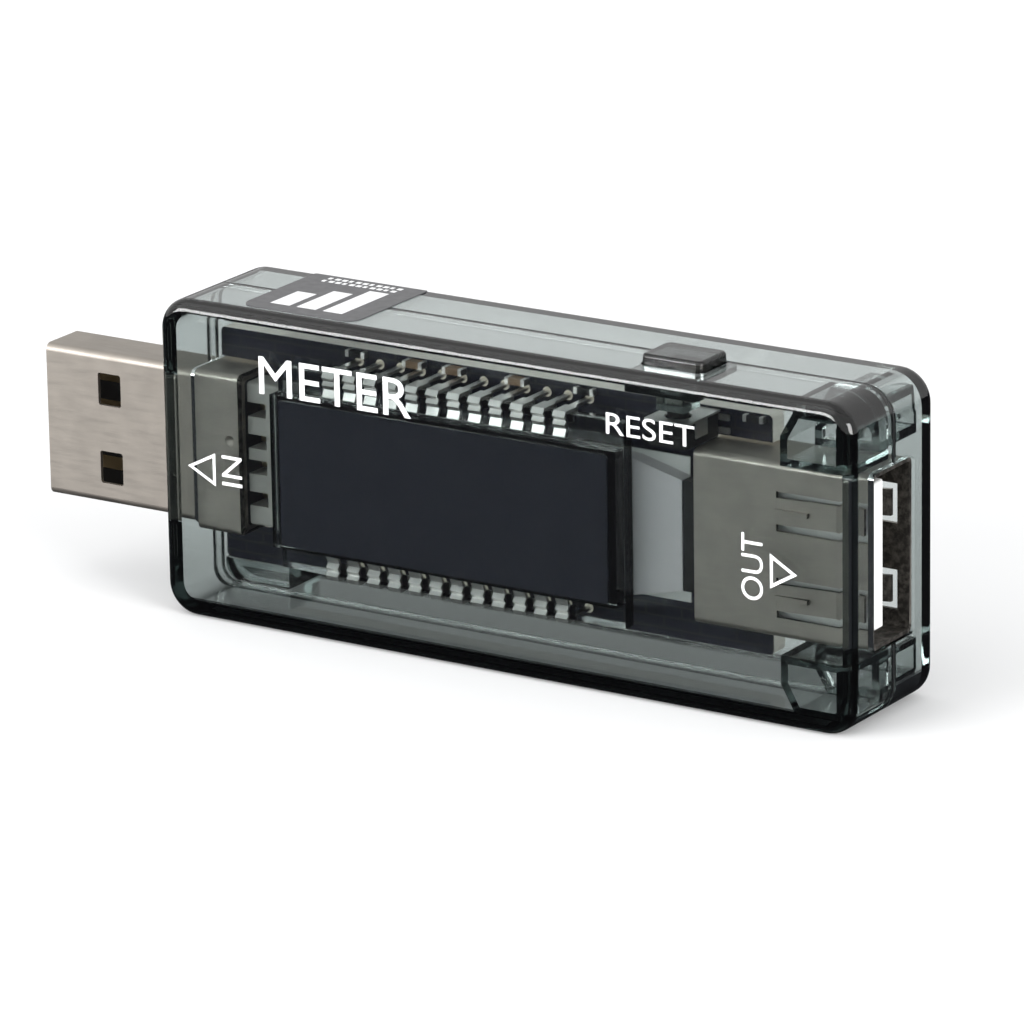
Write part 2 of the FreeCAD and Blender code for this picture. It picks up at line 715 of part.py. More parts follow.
def small_chip(x, z):
    return chip_body(x, z, (BOARD_BACK + 0.1, BOARD_BACK + 1.5), 2.45, 1.95)


def small_chip_leads():
    """The leads of both eight-lead chips."""
    rows = []
    for x, z in ((AMP_X, AMP_Z), (MEMORY_X, MEMORY_Z)):
        rows += lead_rows(x, z, 1.95, 4, 1.27, (90, 270), reach=1.0, width=0.4)
    return group(rows)


def voltage_regulator():
    return chip_body(REGULATOR_X, REGULATOR_Z, (BOARD_BACK + 0.1, BOARD_BACK + 1.2), 2.25, 1.25)


def regulator_leads():
    """Three narrow leads on one side and the wide heat tab on the other."""
    narrow = lead_rows(REGULATOR_X, REGULATOR_Z, 1.25, 3, 1.5, (90,), reach=0.9, width=0.5)
    tab_z = (REGULATOR_Z + 1.25, REGULATOR_Z + 2.2)
    tab = block(about(REGULATOR_X, 0.85), (BOARD_BACK, BOARD_BACK + 0.35), tab_z)
    return group(narrow + [tab])


SHUNT_X = 35.0
SHUNT_Z = 8.0


def shunt_resistor():
    """The current shunt: a thick metal strip with a raised middle."""
    x = about(SHUNT_X, 3.2)
    z = about(SHUNT_Z, 1.6)
    strip = block(x, (BOARD_BACK, BOARD_BACK + 0.55), z)
    arch = block(about(SHUNT_X, 1.9), (BOARD_BACK - 1, BOARD_BACK + 0.12), (z[0] - 1, z[1] + 1))
    middle = block(about(SHUNT_X, 2.0), (BOARD_BACK + 0.12, BOARD_BACK + 0.75), z)
    return joined([strip.cut(arch), middle])


# Small two-terminal parts: (X, Z, upright?) of each, by the face of the board they are on.
FRONT_Z = BOARD_TOP - 0.38
FRONT_CAPACITORS = ((19.2, FRONT_Z, False), (22.7, FRONT_Z, False), (28.2, FRONT_Z, False))
FRONT_RESISTORS = ((13.9, FRONT_Z, False), (34.0, FRONT_Z, False), (48.4, FRONT_Z, False))
BACK_CAPACITORS = ((18.6, 19.0, True), (29.6, 16.6, True), (38.6, 12.2, True), (31.2, 12.2, True))
BACK_RESISTORS = ((19.0, 6.2, True), (29.4, 8.0, True), (20.8, 18.4, False), (26.6, 18.4, False),
                  (26.6, 6.4, False), (41.0, 15.6, True), (41.0, 9.2, True))
FRONT_CHIP = (1.7, 0.5)
BACK_CHIP = (1.6, 0.85)
CHIP_CAP = 0.3


def chip_part(x, z, upright, front, height, piece):
    """The body (piece 'middle') or one end cap (piece -1 or 1) of a small two-terminal part."""
    long, wide = FRONT_CHIP if front else BACK_CHIP
    if piece == "middle":
        along = about(0, long / 2 - CHIP_CAP)
    else:
        along = tuple(sorted((piece * (long / 2 - CHIP_CAP), piece * long / 2)))
    across = about(0, wide / 2)
    y = (BOARD_FRONT - height, BOARD_FRONT) if front else (BOARD_BACK, BOARD_BACK + height)
    x_pair, z_pair = (across, along) if upright else (along, across)
    return block((x + x_pair[0], x + x_pair[1]), y, (z + z_pair[0], z + z_pair[1]))


def chip_bodies(front_places, back_places, height):
    return group(
        [chip_part(*place, True, height, "middle") for place in front_places]
        + [chip_part(*place, False, height, "middle") for place in back_places]
    )


def chip_terminals():
    """The tinned end caps of every small two-terminal part."""
    caps = []
    places = (
        (FRONT_CAPACITORS, True, 0.8),
        (FRONT_RESISTORS, True, 0.5),
        (BACK_CAPACITORS, False, 0.8),
        (BACK_RESISTORS, False, 0.5),
    )
    for group_places, front, height in places:
        for place in group_places:
            caps += [chip_part(*place, front, height, end) for end in (-1, 1)]
    return group(caps)


def solder_joints():
    """Solder cones round the display pins where they come through the back of the board."""
    joints = []
    for i in range(PIN_COUNT):
        for side in (-1, 1):
            z = LCD_Z + side * PIN_LEG_OFFSET
            cone = Part.makeCone(0.62, 0.3, 0.55, V(pin_x(i), BOARD_BACK, z), V(0, 1, 0))
            leg_y = (BOARD_BACK - 1, BOARD_BACK + 2)
            leg = block(about(pin_x(i), PIN_LEG / 2), leg_y, about(z, PIN_SHEET / 2))
            joints.append(cone.cut(leg))
    return group(joints)


def main():
    os.makedirs("parts", exist_ok=True)
    film_half = LCD_HALF_HEIGHT - LEDGE - 0.3
    nodes = {
        "front_shell": front_shell(),
        "rear_shell": rear_shell(),
        "seal_label": seal_label(),
        "circuit_board": circuit_board(),
        "plug_shell": plug_shell(),
        "plug_insulator": plug_insulator(),
        "plug_contacts": plug_contacts(),
        "plug_collar": plug_collar(),
        "tail_block": tail_block(),
        "socket_shell": socket_shell(),
        "socket_insulator": socket_insulator(),
        "socket_contacts": socket_contacts(),
        "lcd_front_polarizer": polarizer((LCD_FRONT - FILM, LCD_FRONT), film_half),
        "lcd_front_glass": lcd_front_glass(),
        "lcd_seal": lcd_seal(),
        "lcd_rear_glass": lcd_rear_glass(),
        "lcd_rear_polarizer": polarizer((REAR_GLASS_BACK, REAR_GLASS_BACK + FILM), film_half),
        "lcd_pins_top": clip_pins(1),
        "lcd_pins_bottom": clip_pins(-1),
        "backlight_guide": backlight_guide(),
        "backlight_reflector": backlight_reflector(),
        "backlight_lamp": backlight_lamp(),
        "foam_pad": foam_pad(),
        "reset_button": reset_button(),
        "switch_body": switch_body(),
        "switch_cover": switch_cover(),
        "switch_plunger": switch_plunger(),
        "switch_dome": switch_dome(),
        "switch_terminals": switch_terminals(),
        "microcontroller": microcontroller(),
        "microcontroller_leads": microcontroller_leads(),
        "current_amplifier": small_chip(AMP_X, AMP_Z),
        "memory_chip": small_chip(MEMORY_X, MEMORY_Z),
        "small_chip_leads": small_chip_leads(),
        "voltage_regulator": voltage_regulator(),
        "regulator_leads": regulator_leads(),
        "shunt_resistor": shunt_resistor(),
        "chip_capacitors": chip_bodies(FRONT_CAPACITORS, BACK_CAPACITORS, 0.8),
        "chip_resistors": chip_bodies(FRONT_RESISTORS, BACK_RESISTORS, 0.5),
        "chip_terminals": chip_terminals(),
        "solder_joints": solder_joints(),
    }
    for name, shape in nodes.items():
        save(name, shape)


main()
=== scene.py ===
"""Looks of a see-through USB power meter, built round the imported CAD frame.

Metres, +X towards the socket, +Y towards the back, +Z up, the meter standing on its long edge.
"""

import json
import math

import bpy
from mathutils import Matrix, Vector


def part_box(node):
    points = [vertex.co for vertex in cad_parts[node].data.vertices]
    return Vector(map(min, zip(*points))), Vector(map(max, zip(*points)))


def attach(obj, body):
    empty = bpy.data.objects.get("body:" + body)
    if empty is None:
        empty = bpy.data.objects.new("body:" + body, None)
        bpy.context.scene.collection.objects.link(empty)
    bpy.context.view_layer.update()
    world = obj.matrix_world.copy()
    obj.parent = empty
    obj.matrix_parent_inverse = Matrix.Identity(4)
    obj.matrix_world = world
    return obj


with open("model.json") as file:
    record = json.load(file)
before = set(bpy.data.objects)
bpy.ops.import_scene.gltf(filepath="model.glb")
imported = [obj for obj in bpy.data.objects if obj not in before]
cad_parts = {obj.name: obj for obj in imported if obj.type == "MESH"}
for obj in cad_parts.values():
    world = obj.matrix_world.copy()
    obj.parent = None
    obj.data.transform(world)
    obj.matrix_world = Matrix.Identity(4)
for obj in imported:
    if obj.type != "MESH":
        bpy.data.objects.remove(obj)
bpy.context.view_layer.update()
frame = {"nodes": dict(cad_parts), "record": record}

NODES = frame["nodes"]
MM = 0.001

# Camera.
CAMERA_PLACE = Vector((0.27725, -0.42230, 0.16665))
CAMERA_AZIMUTH = math.radians(32.896)
CAMERA_ELEVATION = math.radians(17.241)
CAMERA_ROLL = math.radians(-0.936)
CAMERA_LENS = 250.2
CAMERA_CLIP = (0.01, 20.0)
SENSOR = 36.0

# The case, in millimetres from its plug-side end, its middle plane and its bottom edge.
CASE_LOW, CASE_HIGH = (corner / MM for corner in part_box("front_shell"))
CASE_LENGTH = CASE_HIGH.x - CASE_LOW.x
CASE_HEIGHT = CASE_HIGH.z
FRONT_FACE = CASE_LOW.y
CORNER = 2.5

# A black strip of painted shade in the groove between halves, and how far it stops from each
# connector.
SEAM_INSET = 0.02
SEAM_DEPTH = 0.45
SEAM_HALF = 0.09
SEAM_PLUG_GAP = 0.2
SEAM_SOCKET_GAP = 0.6
ARC_STEPS = 12

# White ink: half its thickness, its middle's distance from the face, and an outline's width.
INK_HALF = 0.008
INK_LIFT = 0.012
STROKE = 0.24

# What each legend fills on the front face: (X range, Z range).
NAME_BOX = ((9.2, 22.7), (18.6, 21.5))
RESET_BOX = ((39.56, 47.0), (19.97, 21.6))
IN_BOX = ((5.6, 7.4), (10.95, 13.28))
OUT_BOX = ((50.85, 52.64), (9.34, 14.3))

# The flow triangles: (X of the base, X of the tip, Z range).
ARROW_IN = (5.0, 2.48, (10.73, 13.31))
ARROW_OUT = (53.23, 55.48, (10.43, 13.06))

# The seal's print: three bars that grow towards the back, and two rows of dashes behind them.
BAR_COUNT = 3
BAR_LEFT = 8.6
BAR_WIDTH = 1.7
BAR_PITCH = 2.35
BAR_FRONT = -3.4
BAR_BACK = 0.2
BAR_GROWTH = 1.35
DASH_COUNT = 11
DASH_LEFT = 8.5
DASH_PITCH = 0.62
DASH_LONG = 0.42
DASH_SHORT = 0.3
DASH_ROWS = ((0.0, 3.45, 3.85), (0.1, 4.2, 4.6))

# Painted shade on the case's rim: a dark band at the foot and the fold along the top, by height
# in millimetres and by how far the surface faces up or sideways.
CLEAR = (0.97, 0.985, 0.98)
PAINTED_RIM_SHADE = (0.03, 0.033, 0.033)
FOOT_START = 0.01
FOOT_BAND = 1.35
FOOT_UP = 0.3
FOOT_STRENGTH = 0.93
RIM = 1.0
FOLD_SIDE = 0.3
FOLD_UP = 0.66

# The painted glow on the board's pale cut edge, which is no lamp, and what gloss sees of the floor.
PAINTED_EDGE_GLOW = 0.22
CARD = (0.04, 0.04, 0.045)

# The values that nearly all of a noise texture lies between.
NOISE_LOW = 0.3
NOISE_HIGH = 0.7

# The studio, in metres.
FLOOR_SIZE = 6.0
SKY_STRENGTH = 0.8
AIM = Vector((0.0, 0.0, 0.012))


# ---------------------------------------------------------------- node helpers


def new_material(name):
    """An empty node material with its output."""
    material = bpy.data.materials.new(name)
    material.use_nodes = True
    tree = material.node_tree
    tree.nodes.clear()
    output = tree.nodes.new("ShaderNodeOutputMaterial")
    return material, tree, output


def principled(tree, output, **values):
    """A Principled shader with plain values on its own sockets."""
    shader = tree.nodes.new("ShaderNodeBsdfPrincipled")
    for name, value in values.items():
        shader.inputs[name.replace("_", " ")].default_value = value
    tree.links.new(shader.outputs["BSDF"], output.inputs["Surface"])
    return shader


def object_coordinates(tree, scale=(1.0, 1.0, 1.0), turn=(0.0, 0.0, 0.0), middle=(0.0, 0.0, 0.0)):
    """Object coordinates in millimetres from a middle point, stretched and turned."""
    place = tree.nodes.new("ShaderNodeTexCoord")
    mapping = tree.nodes.new("ShaderNodeMapping")
    mapping.inputs["Scale"].default_value = [s / MM for s in scale]
    mapping.inputs["Rotation"].default_value = turn
    mapping.inputs["Location"].default_value = [-m for m in middle]
    tree.links.new(place.outputs["Object"], mapping.inputs["Vector"])
    return mapping.outputs["Vector"]


def noise(tree, vector, scale, detail=3.0, roughness=0.5):
    """A noise texture's value, scale in features per millimetre."""
    node = tree.nodes.new("ShaderNodeTexNoise")
    node.inputs["Scale"].default_value = scale
    node.inputs["Detail"].default_value = detail
    node.inputs["Roughness"].default_value = roughness
    tree.links.new(vector, node.inputs["Vector"])
    return node.outputs["Fac"]


def between(tree, value, low, high):
    """A noise value spread over the range low to high."""
    node = tree.nodes.new("ShaderNodeMapRange")
    node.inputs["From Min"].default_value = NOISE_LOW
    node.inputs["From Max"].default_value = NOISE_HIGH
    node.inputs["To Min"].default_value = low
    node.inputs["To Max"].default_value = high
    tree.links.new(value, node.inputs["Value"])
    return node.outputs["Result"]


def ramp(tree, value, *stops):
    """A colour ramp of (position, colour) stops."""
    node = tree.nodes.new("ShaderNodeValToRGB")
    elements = node.color_ramp.elements
    for index, (position, colour) in enumerate(stops):
        element = elements[index] if index < 2 else elements.new(position)
        element.position = position
        element.color = (*colour, 1.0)
    tree.links.new(value, node.inputs["Fac"])
    return node.outputs["Color"]


def bump(tree, shader, height, strength, distance_mm):
    """A bump from a height value on a shader's normal."""
    node = tree.nodes.new("ShaderNodeBump")
    node.inputs["Strength"].default_value = strength
    node.inputs["Distance"].default_value = distance_mm * MM
    tree.links.new(height, node.inputs["Height"])
    tree.links.new(node.outputs["Normal"], shader.inputs["Normal"])


def surface_normal(tree):
    """The surface's normal in the object's own axes."""
    return tree.nodes.new("ShaderNodeTexCoord").outputs["Normal"]


def calculate(tree, operation, *values):
    """A math node's result; each value is a socket or a plain number."""
    node = tree.nodes.new("ShaderNodeMath")
    node.operation = operation
    for socket, value in zip(node.inputs, values):
        if isinstance(value, bpy.types.NodeSocket):
            tree.links.new(value, socket)
        else:
            socket.default_value = value
    return node.outputs["Value"]


def above(tree, value, limit):
    """One where a value is over a limit, nought elsewhere."""
    return calculate(tree, "GREATER_THAN", value, limit)


def below(tree, value, limit):
    """One where a value is under a limit, nought elsewhere."""
    return calculate(tree, "LESS_THAN", value, limit)


def all_of(tree, first, *others):
    """One where every mask is one."""
    for mask in others:
        first = calculate(tree, "MULTIPLY", first, mask)
    return first


def split(tree, vector):
    """The three parts of a vector."""
    node = tree.nodes.new("ShaderNodeSeparateXYZ")
    tree.links.new(vector, node.inputs["Vector"])
    return node.outputs


def mixed(tree, factor, first, second):
    """Two colours mixed by a factor."""
    node = tree.nodes.new("ShaderNodeMix")
    node.data_type = "RGBA"
    tree.links.new(factor, node.inputs["Factor"])
    tree.links.new(first, node.inputs[6])
    tree.links.new(second, node.inputs[7])
    return node.outputs[2]


# ---------------------------------------------------------------- materials


def painted_rim_shade(tree, vector):
    """Painted shade on the case's rim: the band at its foot and the top fold, nought elsewhere."""
    height = split(tree, vector)["Z"]
    normal = split(tree, surface_normal(tree))
    foot = all_of(
        tree,
        below(tree, height, FOOT_BAND),
        above(tree, height, FOOT_START),
        below(tree, normal["Z"], FOOT_UP),
    )
    fold = all_of(
        tree,
        above(tree, height, CASE_HEIGHT - RIM),
        above(tree, calculate(tree, "ABSOLUTE", normal["Y"]), FOLD_SIDE),
        above(tree, normal["Z"], FOLD_UP),
    )
    return calculate(tree, "MAXIMUM", calculate(tree, "MULTIPLY", foot, FOOT_STRENGTH), fold)


def smoke_plastic(name, absorb, density, rough):
    """See-through smoke polycarbonate: depth darkens it, and painted shade makes the rim nearly
    black.
    """
    material, tree, output = new_material(name)
    shader = principled(tree, output, IOR=1.58, Transmission_Weight=1.0)
    vector = object_coordinates(tree)
    # Painted shade: the tint goes nearly black on the foot band and the top fold.
    tint = ramp(tree, painted_rim_shade(tree, vector), (0.0, CLEAR), (1.0, PAINTED_RIM_SHADE))
    tree.links.new(tint, shader.inputs["Base Color"])
    wear = noise(tree, vector, scale=0.35, detail=4.0)
    tree.links.new(between(tree, wear, rough, rough + 0.05), shader.inputs["Roughness"])
    swell = noise(tree, vector, scale=0.16, detail=2.0)
    bump(tree, shader, swell, strength=0.25, distance_mm=0.02)
    volume = tree.nodes.new("ShaderNodeVolumeAbsorption")
    volume.inputs["Color"].default_value = (*absorb, 1.0)
    volume.inputs["Density"].default_value = density
    tree.links.new(volume.outputs["Volume"], output.inputs["Volume"])
    return material


def painted_inside_shade(tree, tint, colour, share):
    """Painted shade: faces towards the socket's middle line take a share of a colour, mottled by
    noise.
    """
    middle = (0.0, 0.0, CASE_HEIGHT / 2)
    from_middle = object_coordinates(tree, scale=(0.0, 1.0, 1.0), middle=middle)
    outward = tree.nodes.new("ShaderNodeVectorMath")
    outward.operation = "DOT_PRODUCT"
    tree.links.new(from_middle, outward.inputs[0])
    tree.links.new(surface_normal(tree), outward.inputs[1])
    outside = above(tree, outward.outputs["Value"], 0.0)
    # A noise mottles the painted shade.
    mottle = noise(tree, object_coordinates(tree), scale=1.6, detail=5.0, roughness=0.7)
    darkest_shade, plain = (tuple(c * share * k for c in colour) for k in (0.35, 1.0))
    shade = ramp(tree, mottle, (0.42, darkest_shade), (0.62, plain))
    return mixed(tree, outside, shade, tint)


def plated_steel(name, colour, rough, grain, inside_shade=1.0):
    """Plated sheet, drawn along X, with soft stains; inside_shade is the painted shade's share in a
    socket.
    """
    material, tree, output = new_material(name)
    shader = principled(tree, output, Metallic=1.0)
    along = object_coordinates(tree, scale=(0.25, 2.0, 2.0))
    drawn = noise(tree, along, scale=grain, detail=5.0, roughness=0.6)
    cloudy = noise(tree, object_coordinates(tree), scale=0.5)
    dark = tuple(c * 0.86 for c in colour)
    tint = ramp(tree, cloudy, (0.25, dark), (0.75, colour))
    # Painted shade on the faces towards the socket's middle line.
    if inside_shade < 1.0:
        tint = painted_inside_shade(tree, tint, colour, inside_shade)
    tree.links.new(tint, shader.inputs["Base Color"])
    tree.links.new(between(tree, drawn, rough, rough + 0.14), shader.inputs["Roughness"])
    bump(tree, shader, drawn, strength=0.12, distance_mm=0.01)
    return material


def moulded_plastic(name, colour, rough, fleck=0.9, tooth=0.2):
    """Opaque moulded plastic: fleck is its darker shade's share, tooth the fine surface grain."""
    material, tree, output = new_material(name)
    shader = principled(tree, output)
    vector = object_coordinates(tree)
    cloudy = noise(tree, vector, scale=1.2, detail=4.0)
    shade = tuple(c * fleck for c in colour)
    tree.links.new(ramp(tree, cloudy, (0.3, shade), (0.7, colour)), shader.inputs["Base Color"])
    spread = tooth * 0.3
    uneven = between(tree, cloudy, rough - spread, rough + spread)
    tree.links.new(uneven, shader.inputs["Roughness"])
    grit = noise(tree, vector, scale=9.0, detail=2.0)
    bump(tree, shader, grit, strength=tooth, distance_mm=0.01)
    return material


def board_traces(tree, mask, copper):
    """Faint straight traces under the board's mask."""
    traces = tree.nodes.new("ShaderNodeTexBrick")
    traces.inputs["Scale"].default_value = 1.0
    traces.inputs["Brick Width"].default_value = 3.1
    traces.inputs["Row Height"].default_value = 0.9
    traces.inputs["Mortar Size"].default_value = 0.08
    for socket, colour in (("Color1", mask), ("Color2", mask), ("Mortar", copper)):
        traces.inputs[socket].default_value = (*colour, 1.0)
    upright = object_coordinates(tree, turn=(math.radians(-90), 0.0, 0.0))
    tree.links.new(upright, traces.inputs["Vector"])
    return traces.outputs["Color"]


def coated_board(name, mask, core, copper):
    """Circuit board: dark mask, faint traces on both faces, pale edge fibre with a painted glow."""
    material, tree, output = new_material(name)
    shader = principled(tree, output)
    facing = split(tree, surface_normal(tree))["Y"]
    flat = above(tree, calculate(tree, "ABSOLUTE", facing), 0.5)
    layered = object_coordinates(tree, scale=(0.4, 0.4, 6.0))
    weave = noise(tree, layered, scale=2.0, detail=4.0)
    layers = ramp(tree, weave, (0.3, tuple(c * 0.75 for c in core)), (0.7, core))
    surface = mixed(tree, flat, layers, board_traces(tree, mask, copper))
    tree.links.new(surface, shader.inputs["Base Color"])
    # Painted light: the pale cut edges glow, though the board is no lamp.
    painted_glow = ramp(tree, flat, (0.0, core), (1.0, (0.0, 0.0, 0.0)))
    tree.links.new(painted_glow, shader.inputs["Emission Color"])
    shader.inputs["Emission Strength"].default_value = PAINTED_EDGE_GLOW
    gloss = noise(tree, object_coordinates(tree), scale=1.0)
    tree.links.new(between(tree, gloss, 0.3, 0.42), shader.inputs["Roughness"])
    return material


def clear_glass(name, tint):
    """Display glass, with faint smears."""
    material, tree, output = new_material(name)
    shader = principled(tree, output, Base_Color=(*tint, 1.0), IOR=1.52, Transmission_Weight=1.0)
    smear = noise(tree, object_coordinates(tree), scale=0.3)
    tree.links.new(between(tree, smear, 0.01, 0.05), shader.inputs["Roughness"])
    return material


# Looks by slot. Colours are linear, and the density of a smoke is per metre of depth.
SMOKES = {
    "case_smoke": {"absorb": (0.30, 0.38, 0.37), "density": 400.0, "rough": 0.02},
    "button_smoke": {"absorb": (0.30, 0.35, 0.34), "density": 900.0, "rough": 0.12},
}
PLASTICS = {
    "label_vinyl": {"colour": (0.085, 0.085, 0.09), "rough": 0.38},
    "black_plastic": {"colour": (0.018, 0.018, 0.018), "rough": 0.5},
    "grey_plastic": {"colour": (0.50, 0.49, 0.46), "rough": 0.5},
    "white_plastic": {"colour": (0.86, 0.87, 0.85), "rough": 0.42, "fleck": 0.97},
    "display_film": {"colour": (0.034, 0.036, 0.05), "rough": 0.25, "fleck": 0.97, "tooth": 0.01},
    "display_seal": {"colour": (0.06, 0.06, 0.06), "rough": 0.5},
    "milky_plastic": {"colour": (0.74, 0.72, 0.74), "rough": 0.35, "fleck": 0.95},
    "foam": {"colour": (0.72, 0.72, 0.69), "rough": 0.9},
    "chip_plastic": {"colour": (0.022, 0.022, 0.024), "rough": 0.55},
    "brown_ceramic": {"colour": (0.38, 0.25, 0.16), "rough": 0.45},
    "white_ink": {"colour": (0.9, 0.91, 0.92), "rough": 0.45, "fleck": 0.96},
    "seam_black": {"colour": (0.02, 0.022, 0.022), "rough": 0.45},
}
# Painted light: inner_steel is the plug's steel painted lighter, for the light the smoke case
# takes.
METALS = {
    "connector_steel": {"colour": (0.42, 0.385, 0.345), "rough": 0.46, "grain": 1.5},
    "inner_steel": {"colour": (0.60, 0.56, 0.51), "rough": 0.46, "grain": 1.5, "inside_shade": 0.42},
    "contact_gold": {"colour": (0.55, 0.45, 0.28), "rough": 0.32, "grain": 2.0},
    "tinned_metal": {"colour": (0.94, 0.93, 0.91), "rough": 0.34, "grain": 2.5},
    "shunt_metal": {"colour": (0.55, 0.46, 0.40), "rough": 0.35, "grain": 2.0},
    "solder": {"colour": (0.74, 0.74, 0.75), "rough": 0.25, "grain": 2.0},
}
BOARD_MASK = (0.020, 0.021, 0.038)
BOARD_CORE = (0.95, 0.93, 0.85)
BOARD_COPPER = (0.04, 0.04, 0.045)
GLASS_TINT = (0.86, 0.9, 0.9)

MATERIALS = {slot: smoke_plastic(slot, **look) for slot, look in SMOKES.items()}
MATERIALS.update({slot: moulded_plastic(slot, **look) for slot, look in PLASTICS.items()})
MATERIALS.update({slot: plated_steel(slot, **look) for slot, look in METALS.items()})
MATERIALS["board_mask"] = coated_board("board_mask", BOARD_MASK, BOARD_CORE, BOARD_COPPER)
MATERIALS["display_glass"] = clear_glass("display_glass", GLASS_TINT)


def dress_nodes():
    """Gives every CAD node the material of its slot."""
    for part in frame["record"]["subparts"]:
        node = NODES[part["node"]]
        node.data.materials.clear()
        node.data.materials.append(MATERIALS[part["material_slot"]])


# ---------------------------------------------------------------- print and seam


def piece(name, vertices, faces, material):
    """A mesh in case millimetres that rides on the case."""
    plug_side = Vector((CASE_LOW.x, 0.0, 0.0))
    mesh = bpy.data.meshes.new(name)
    mesh.from_pydata([(plug_side + Vector(v)) * MM for v in vertices], [], faces)
    mesh.validate()
    mesh.materials.append(MATERIALS[material])
    made = bpy.data.objects.new(name, mesh)
    bpy.context.scene.collection.objects.link(made)
    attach(made, "case")


def lettering(name, words, box, turned=False):
    """A word in white ink that fills an (X, Z) box of the front face; turned reads upwards."""
    curve = bpy.data.curves.new(name, "FONT")
    curve.body = words
    curve.extrude = 1.0
    typed = bpy.data.objects.new(name, curve)
    mesh = bpy.data.meshes.new_from_object(typed)
    low = [min(v.co[i] for v in mesh.vertices) for i in (0, 1)]
    high = [max(v.co[i] for v in mesh.vertices) for i in (0, 1)]
    (left, right), (bottom, top) = box
    ink = []
    for v in mesh.vertices:
        along, up = ((v.co[i] - low[i]) / (high[i] - low[i]) for i in (0, 1))
        across, rise = (1.0 - up, along) if turned else (along, up)
        depth = FRONT_FACE - INK_LIFT - v.co.z * INK_HALF
        ink.append((left + across * (right - left), depth, bottom + rise * (top - bottom)))
    faces = [tuple(polygon.vertices) for polygon in mesh.polygons]
    bpy.data.objects.remove(typed)
    piece(name, ink, faces, "white_ink")


def flow_arrow(name, base_x, apex_x, z):
    """An outlined triangle in white ink, its base upright and its tip pointing along X."""
    tip = (apex_x, sum(z) / 2)
    outer = [(base_x, z[0]), tip, (base_x, z[1])]
    centre = [sum(p[i] for p in outer) / 3 for i in (0, 1)]
    reach = abs(centre[0] - base_x)
    shrink = (reach - STROKE) / reach
    inner = [tuple(centre[i] + (p[i] - centre[i]) * shrink for i in (0, 1)) for p in outer]
    ring = outer + inner
    layers = [FRONT_FACE - INK_LIFT + side * INK_HALF for side in (-1, 1)]
    vertices = [(px, y, pz) for y in layers for px, pz in ring]
    faces = []
    for i in range(3):
        j = (i + 1) % 3
        faces.append((i, j, j + 3, i + 3))
        faces.append((i + 6, i + 9, j + 9, j + 6))
        faces.append((i, i + 6, j + 6, j))
        faces.append((i + 3, j + 3, j + 9, i + 9))
    piece(name, vertices, faces, "white_ink")


def label_marks():
    """The (low X, high X, low Y, high Y) of every bar and dash on the seal label."""
    marks = []
    for i in range(BAR_COUNT):
        left = BAR_LEFT + BAR_PITCH * i
        marks.append((left, left + BAR_WIDTH, BAR_FRONT, BAR_BACK + BAR_GROWTH * i))
    for i in range(DASH_COUNT):
        length = DASH_LONG if i % 3 else DASH_SHORT
        for shift, front, back in DASH_ROWS:
            left = DASH_LEFT + DASH_PITCH * i + shift
            marks.append((left, left + length, front, back))
    return marks


def label_print():
    """A plain bar chart and two rows of dashes in white ink on the seal label."""
    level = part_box("seal_label")[1].z / MM
    marks = label_marks()
    vertices = []
    for low_x, high_x, low_y, high_y in marks:
        for z in (level + INK_LIFT - INK_HALF, level + INK_LIFT + INK_HALF):
            corners = ((low_x, low_y), (high_x, low_y), (high_x, high_y), (low_x, high_y))
            vertices += [(x, y, z) for x, y in corners]
    sides = ((0, 3, 2, 1), (4, 5, 6, 7), (0, 1, 5, 4), (1, 2, 6, 5), (2, 3, 7, 6), (3, 0, 4, 7))
    faces = [tuple(8 * i + k for k in side) for i in range(len(marks)) for side in sides]
    piece("print_label", vertices, faces, "white_ink")


def corner_arc(centre_x, centre_z, start):
    """A quarter of the case's corner: (X, Z, outward X, outward Z) at even steps."""
    steps = [math.radians(start + 90.0 / ARC_STEPS * i) for i in range(ARC_STEPS + 1)]
    return [
        (centre_x + CORNER * math.cos(a), centre_z + CORNER * math.sin(a), math.cos(a), math.sin(a))
        for a in steps
    ]


def seam_shade_strip(name, sign):
    """Painted shade strip in the groove between halves; sign is 1 over the connectors, -1 under."""
    middle = CASE_HEIGHT / 2
    plug_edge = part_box("plug_shell")[1].z / MM - middle + SEAM_PLUG_GAP
    socket_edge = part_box("socket_insulator")[1].z / MM - middle + SEAM_SOCKET_GAP
    path = [(CASE_LENGTH, socket_edge, 1.0, 0.0)]
    path += corner_arc(CASE_LENGTH - CORNER, middle - CORNER, 0.0)
    path += corner_arc(CORNER, middle - CORNER, 90.0)
    path += [(0.0, plug_edge, -1.0, 0.0)]
    section = ((SEAM_INSET, -SEAM_HALF), (SEAM_INSET, SEAM_HALF), (SEAM_DEPTH, 0.0))
    vertices = []
    for px, pz, out_x, out_z in path:
        for inset, y in section:
            vertices.append((px - out_x * inset, y, middle + sign * (pz - out_z * inset)))
    count = len(path)
    faces = [(0, 1, 2), (3 * count - 3, 3 * count - 2, 3 * count - 1)]
    for i in range(count - 1):
        for k in range(3):
            near, far = 3 * i + k, 3 * i + (k + 1) % 3
            faces.append((near, far, far + 3, near + 3))
    # Painted shade: a near-black strip where the groove between the halves is dark.
    piece(name, vertices, faces, "seam_black")


def printed_parts():
    """Everything printed on the front face and the seal, with plain words only."""
    lettering("print_name", "METER", NAME_BOX)
    lettering("print_reset", "RESET", RESET_BOX)
    lettering("print_in", "IN", IN_BOX, turned=True)
    lettering("print_out", "OUT", OUT_BOX, turned=True)
    label_print()
    flow_arrow("print_arrow_in", *ARROW_IN)
    flow_arrow("print_arrow_out", *ARROW_OUT)


# ---------------------------------------------------------------- studio


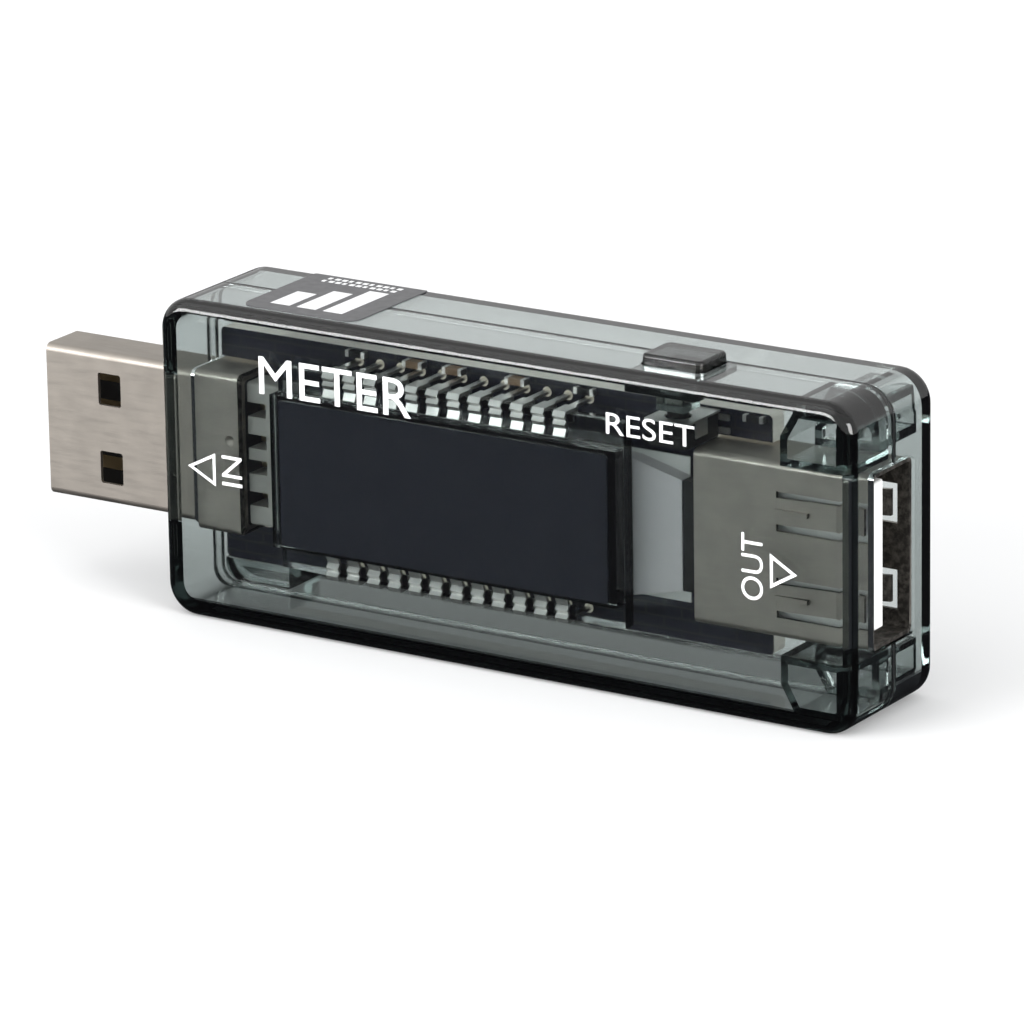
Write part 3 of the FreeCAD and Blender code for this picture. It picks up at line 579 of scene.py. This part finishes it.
def area_light(name, place, size, power):
    """A rectangular soft light aimed at the meter."""
    data = bpy.data.lights.new(name, "AREA")
    data.shape = "RECTANGLE"
    data.size, data.size_y = size
    data.energy = power
    lamp = bpy.data.objects.new(name, data)
    lamp.location = place
    lamp.rotation_euler = (AIM - Vector(place)).to_track_quat("-Z", "Y").to_euler()
    bpy.context.scene.collection.objects.link(lamp)


def sun_light(name, direction, angle, strength):
    """A soft distant light that comes from a direction."""
    data = bpy.data.lights.new(name, "SUN")
    data.angle = math.radians(angle)
    data.energy = strength
    lamp = bpy.data.objects.new(name, data)
    lamp.rotation_euler = Vector(direction).to_track_quat("Z", "Y").to_euler()
    bpy.context.scene.collection.objects.link(lamp)


def floor_paper():
    """White paper that gloss sees as dark, as if black card stood round the meter."""
    material, tree, output = new_material("floor_paper")
    paper = principled(tree, output, Roughness=0.9)
    tone = noise(tree, object_coordinates(tree), scale=0.01, detail=2.0)
    colour = ramp(tree, tone, (0.3, (0.90, 0.905, 0.91)), (0.7, (0.92, 0.925, 0.93)))
    tree.links.new(colour, paper.inputs["Base Color"])
    card = tree.nodes.new("ShaderNodeBsdfDiffuse")
    card.inputs["Color"].default_value = (*CARD, 1.0)
    path = tree.nodes.new("ShaderNodeLightPath")
    mix = tree.nodes.new("ShaderNodeMixShader")
    tree.links.new(path.outputs["Glossy Depth"], mix.inputs["Fac"])
    tree.links.new(paper.outputs["BSDF"], mix.inputs[1])
    tree.links.new(card.outputs["BSDF"], mix.inputs[2])
    tree.links.new(mix.outputs["Shader"], output.inputs["Surface"])
    return material


def surround():
    """A plain white sky."""
    world = bpy.data.worlds.new("surround")
    world.use_nodes = True
    background = world.node_tree.nodes["Background"]
    background.inputs["Color"].default_value = (1.0, 1.0, 1.0, 1.0)
    background.inputs["Strength"].default_value = SKY_STRENGTH
    bpy.context.scene.world = world


def studio():
    """A plain pale floor, a white surround, a soft key and two soft lights near the floor."""
    bpy.ops.mesh.primitive_plane_add(size=FLOOR_SIZE, location=(0, 0, 0))
    floor = bpy.context.object
    floor.name = "floor"
    floor.data.materials.append(floor_paper())
    surround()
    sun_light("key", direction=(-0.5, -0.6, 0.9), angle=60.0, strength=0.5)
    area_light("front", place=(-0.45, -0.75, 0.22), size=(0.7, 0.3), power=7.5)
    area_light("side", place=(0.75, -0.25, 0.25), size=(0.4, 0.4), power=5.0)
    bpy.context.scene.view_settings.view_transform = "Standard"


def camera():
    """The camera, from its azimuth, elevation and roll."""
    side = math.cos(CAMERA_ELEVATION)
    back = Vector((
        math.sin(CAMERA_AZIMUTH) * side,
        -math.cos(CAMERA_AZIMUTH) * side,
        math.sin(CAMERA_ELEVATION),
    ))
    right = Vector((0.0, 0.0, 1.0)).cross(back).normalized()
    up = back.cross(right)
    turn, lean = math.cos(CAMERA_ROLL), math.sin(CAMERA_ROLL)
    right, up = right * turn + up * lean, up * turn - right * lean
    data = bpy.data.cameras.new("camera")
    data.lens = CAMERA_LENS
    data.sensor_width = SENSOR
    data.clip_start, data.clip_end = CAMERA_CLIP
    eye = bpy.data.objects.new("camera", data)
    axes = Matrix((right, up, back)).transposed().to_4x4()
    eye.matrix_world = Matrix.Translation(CAMERA_PLACE) @ axes
    bpy.context.scene.collection.objects.link(eye)
    bpy.context.scene.camera = eye


dress_nodes()
printed_parts()
seam_shade_strip("seam_top", 1.0)
seam_shade_strip("seam_bottom", -1.0)
studio()
camera()
